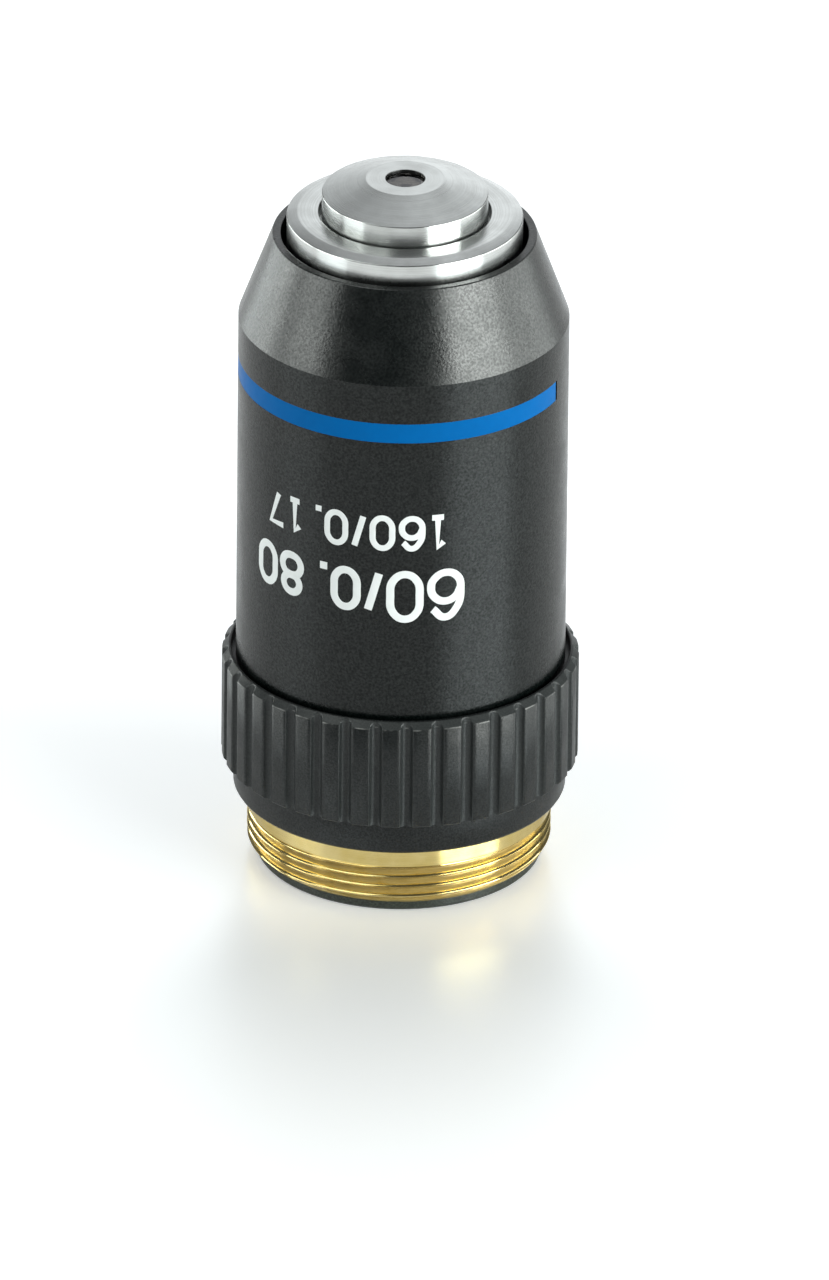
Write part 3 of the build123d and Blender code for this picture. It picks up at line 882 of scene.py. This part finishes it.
# Front cell: the cap that carries the front lens, turned from the same steel and screwed down into the
# barrel's groove. Its top is a shallow cone round a small flat, with the lens behind the hole in the
# middle.
cap_rim_rise = 1.42
cap_flat_radius = 2.61
aperture_radius = 1.299
aperture_lip = 0.26
front_pocket_radius = 1.639
front_pocket_depth = 0.95
second_pocket_radius = 2.3985
second_bore_radius = 3.9
second_bore_roof = 3.2
cap_thread_radius = 5.0
# The aperture's wall and edge are coloured near black, with no metal showing.
aperture_near_black = (0.012, 0.012, 0.012)
aperture_near_black_fade = 0.02
cap_steel = turned_metal(
    "cap_steel", (0.68, 0.695, 0.685), (0.58, 0.59, 0.58),
    roughness=0.24, marks=0.06, depth=0.0025, anisotropy=0.75,
    coat=(aperture_radius + fine_break / 2, aperture_near_black_fade, 0, aperture_near_black),
)
cap_radius, cap_foot, cap_top = reach("front_cell")
cap_rim = barrel_end + cap_rim_rise
cap_seat = barrel_end - cap_recess_depth
cap_mesh = turned([
    (second_bore_radius, cap_foot),
    (cap_thread_radius, cap_foot),
    (cap_thread_radius, cap_seat),
    (cap_radius, cap_seat),
    (cap_radius, cap_rim),
    (cap_flat_radius, cap_top),
    (aperture_radius, cap_top),
    (aperture_radius, cap_top - aperture_lip),
    (front_pocket_radius, cap_top - aperture_lip),
    (front_pocket_radius, cap_top - aperture_lip - front_pocket_depth),
    (second_pocket_radius, cap_top - second_bore_roof),
    (second_bore_radius, cap_top - second_bore_roof),
])
break_edges(cap_mesh, fine_break)
front_cell = finish(cap_mesh, "front_cell_piece", cap_steel)
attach(front_cell, "nose")
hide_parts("front_cell")

# Lenses: ground and polished optical glass with an antireflection coat, the pairs cemented. They keep
# their own solids, because a polished lens is just what its two curves and its rim make it.
lens_nodes = ["front_lens", "second_lens", "middle_crown", "middle_flint", "rear_crown", "rear_flint"]
glass_index = 1.52
coat_tint = (0.8, 0.75, 0.85, 1)
polish_size = 0.8
finest_polish = 0.005
coarsest_polish = 0.02


def optical_glass(name, colour, gloss):
    """Polished glass with the faint purple green coat of coated optics."""
    material, tree, principled, place = shader(name)
    principled.inputs["Base Color"].default_value = (*colour, 1)
    principled.inputs["Specular IOR Level"].default_value = gloss
    principled.inputs["Transmission Weight"].default_value = 1
    principled.inputs["IOR"].default_value = glass_index
    principled.inputs["Specular Tint"].default_value = coat_tint
    polish = grains(tree, place, polish_size, detail=2)
    tree.links.new(fade(tree, polish, 0, 1, finest_polish, coarsest_polish), principled.inputs["Roughness"])
    return material


# The front lens is tinted dark brown grey: painted shade, standing for the dark inside of the nose seen
# through it.
front_glass_painted_dark = optical_glass("front_glass_painted_dark", (0.3, 0.28, 0.26), gloss=0.3)
lens_glass = optical_glass("lens_glass", (0.94, 0.97, 0.96), gloss=0.5)
for node in lens_nodes:
    for material_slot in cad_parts[node].material_slots:
        material_slot.material = front_glass_painted_dark if node == "front_lens" else lens_glass

# Cells, stop, spacer and lock ring: thin turned rings inside the barrel, all blackened so that they
# throw no light about. They keep their own solids.
cell_nodes = [
    "second_cell", "second_retainer", "middle_cell", "cell_spacer", "aperture_stop", "rear_cell",
    "lock_ring",
]
cell_black = anodised(
    "cell_black", (0.008, 0.008, 0.008), (0.016, 0.016, 0.016),
    gloss=0.5, roughness=0.6, grain=0.1, depth=0.003,
)
for node in cell_nodes:
    for material_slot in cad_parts[node].material_slots:
        material_slot.material = cell_black

# Floor: a sheet of glossy white acrylic, large enough to fill the picture. It shows the object faintly
# and blurred, and keeps its shadow.
floor_half = 3.0
floor_colour = (0.92, 0.922, 0.925, 1)
floor_tint = (0.88, 0.95, 1, 1)
floor_index = 3.0
floor_near = 0.006              # metres from the axis
floor_far = 0.055
floor_near_roughness = 0.285
floor_far_roughness = 0.5
floor_mirror_share = 0.3        # share of that roughness in what the metal sees of the floor
floor_near_glow = 0.14
floor_far_glow = 0.4
floor_view_glow = 0.17          # paler to the eye outside the reflection, which lies in front of the object
floor_grey_middle = (0, -0.032, 0)
floor_grey_near = 0.016
floor_grey_far = 0.028
floor_material, floor_tree, floor_shader, floor_place = shader("floor_white")
floor_shader.inputs["Base Color"].default_value = floor_colour
floor_shader.inputs["IOR"].default_value = floor_index
floor_shader.inputs["Specular Tint"].default_value = floor_tint
ray = floor_tree.nodes.new("ShaderNodeLightPath").outputs
away = from_axis(floor_tree, floor_place)
polish = fade(
    floor_tree, away, floor_near, floor_far, floor_near_roughness, floor_far_roughness, smooth=True
)
mirrored = fade(floor_tree, ray["Is Glossy Ray"], 0, 1, 1, floor_mirror_share)
blur = calculate(floor_tree, "MULTIPLY", polish, mirrored)
floor_tree.links.new(blur, floor_shader.inputs["Roughness"])
paleness = fade(floor_tree, away, floor_near, floor_far, floor_near_glow, floor_far_glow, smooth=True)
seen = calculate(floor_tree, "MAXIMUM", ray["Is Camera Ray"], ray["Is Glossy Ray"])
seen = calculate(floor_tree, "MAXIMUM", seen, ray["Is Transmission Ray"])
strength = calculate(floor_tree, "MULTIPLY", seen, paleness)
from_grey = floor_tree.nodes.new("ShaderNodeVectorMath")
from_grey.operation = "DISTANCE"
feed(floor_tree, from_grey.inputs, (floor_place, floor_grey_middle))
paler = fade(
    floor_tree, from_grey.outputs["Value"], floor_grey_near, floor_grey_far, 0, floor_view_glow, smooth=True
)
strength = calculate(floor_tree, "MULTIPLY_ADD", ray["Is Camera Ray"], paler, strength)
glow = floor_tree.nodes.new("ShaderNodeEmission")
glow.inputs["Color"].default_value = (1, 1, 1, 1)
floor_tree.links.new(strength, glow.inputs["Strength"])
sheet = floor_tree.nodes.new("ShaderNodeAddShader")
feed(floor_tree, sheet.inputs, (floor_shader.outputs["BSDF"], glow.outputs["Emission"]))
floor_tree.links.new(sheet.outputs["Shader"], floor_tree.nodes["Material Output"].inputs["Surface"])
floor_mesh = bmesh.new()
bmesh.ops.create_grid(floor_mesh, x_segments=8, y_segments=8, size=floor_half)
floor = put(floor_mesh, "floor")
floor.data.materials.append(floor_material)

# Light: a dim room with a pale wall behind the object, a large soft box on the right, a smaller one on the
# left, two low ones behind, which give the metal its bright bands, and a weak one high on the left.
room_dark = 0.1
room_back = 1.15
room_ceiling_share = 0.6        # how bright the ceiling is beside the wall behind
room_left_share = 0.55          # how bright the left of that wall is beside its right
wall_fade = (0.0, 0.35)         # where the wall begins and is full, as shares of a view from the object
wall_sides = (0.5, 0.25)
wall_top = (0.45, 0.85)
wall_left = (-0.3, 0.1)
room_colour = (0.95, 0.985, 1, 1)
lamp_colour = (0.95, 1, 0.965)
lamp_distance = 0.8
object_middle = Vector((0, 0, 0.025))
world = bpy.data.worlds.new("room")
world.use_nodes = True
room_tree = world.node_tree
room_light = room_tree.nodes["Background"]
room_light.inputs["Color"].default_value = room_colour
way = axes(room_tree, room_tree.nodes.new("ShaderNodeTexCoord").outputs["Generated"])
behind = fade(room_tree, way["Y"], *wall_fade, smooth=True)
between = fade(room_tree, calculate(room_tree, "ABSOLUTE", way["X"]), *wall_sides, smooth=True)
leftward = fade(room_tree, way["X"], *wall_left, room_left_share, 1, smooth=True)
panel = calculate(room_tree, "MULTIPLY", behind, between)
shaded = calculate(room_tree, "MULTIPLY", panel, leftward)
wall_light = room_back - room_dark
ceiling_light = room_back * room_ceiling_share - room_dark
upward = fade(room_tree, way["Z"], *wall_top, wall_light, ceiling_light, smooth=True)
brightness = calculate(room_tree, "MULTIPLY_ADD", shaded, upward, room_dark)
room_tree.links.new(brightness, room_light.inputs["Strength"])
bpy.context.scene.world = world


def soft_box(name, direction, height_angle, width, height, power):
    """Rectangular lamp aimed at the object, by its bearing from the front towards +X, in degrees."""
    lamp = bpy.data.lights.new(name, "AREA")
    lamp.shape = "RECTANGLE"
    lamp.size = width
    lamp.size_y = height
    lamp.energy = power
    lamp.color = lamp_colour
    bearing = radians(direction - 90)
    rise = radians(height_angle)
    towards = Vector((cos(bearing) * cos(rise), sin(bearing) * cos(rise), sin(rise)))
    stand = bpy.data.objects.new(name, lamp)
    stand.location = object_middle + towards * lamp_distance
    stand.rotation_euler = towards.to_track_quat("Z", "Y").to_euler()
    stand.visible_camera = False
    bpy.context.scene.collection.objects.link(stand)


soft_box("right_front_box", direction=56, height_angle=16, width=0.66, height=0.4, power=7.6)
soft_box("right_back_box", direction=102, height_angle=6, width=0.6, height=0.2, power=1.6)
soft_box("left_front_box", direction=-74, height_angle=11, width=0.46, height=0.3, power=1.8)
soft_box("left_back_box", direction=-119, height_angle=6, width=0.64, height=0.2, power=2.3)
soft_box("left_high_box", direction=-50, height_angle=50, width=0.6, height=0.42, power=1.5)

# Camera: a long lens a little above the object, as it stood for the photograph. It aims beside the
# axis and is rolled a little, as the ellipses in the photograph say.
camera_distance = 2.0
camera_rise = radians(26.653)
camera_roll = radians(0.591)
camera_aim = Vector((0.920 * MM, 0, 15.347 * MM))
camera_data = bpy.data.cameras.new("camera")
camera_data.sensor_width = 36
camera_data.lens = 846.5
camera_data.clip_start = 0.1
camera_data.clip_end = 20
camera = bpy.data.objects.new("camera", camera_data)
bpy.context.scene.collection.objects.link(camera)
back = Vector((0, -cos(camera_rise), sin(camera_rise)))
up = Vector((0, sin(camera_rise), cos(camera_rise)))
side = Vector((1, 0, 0))
right = cos(camera_roll) * side + sin(camera_roll) * up
top = -sin(camera_roll) * side + cos(camera_roll) * up
turned_to = Matrix((right, top, back)).transposed().to_4x4()
camera.matrix_world = Matrix.Translation(camera_aim + camera_distance * back) @ turned_to
bpy.context.scene.camera = camera
bpy.context.scene.view_settings.view_transform = "Standard"
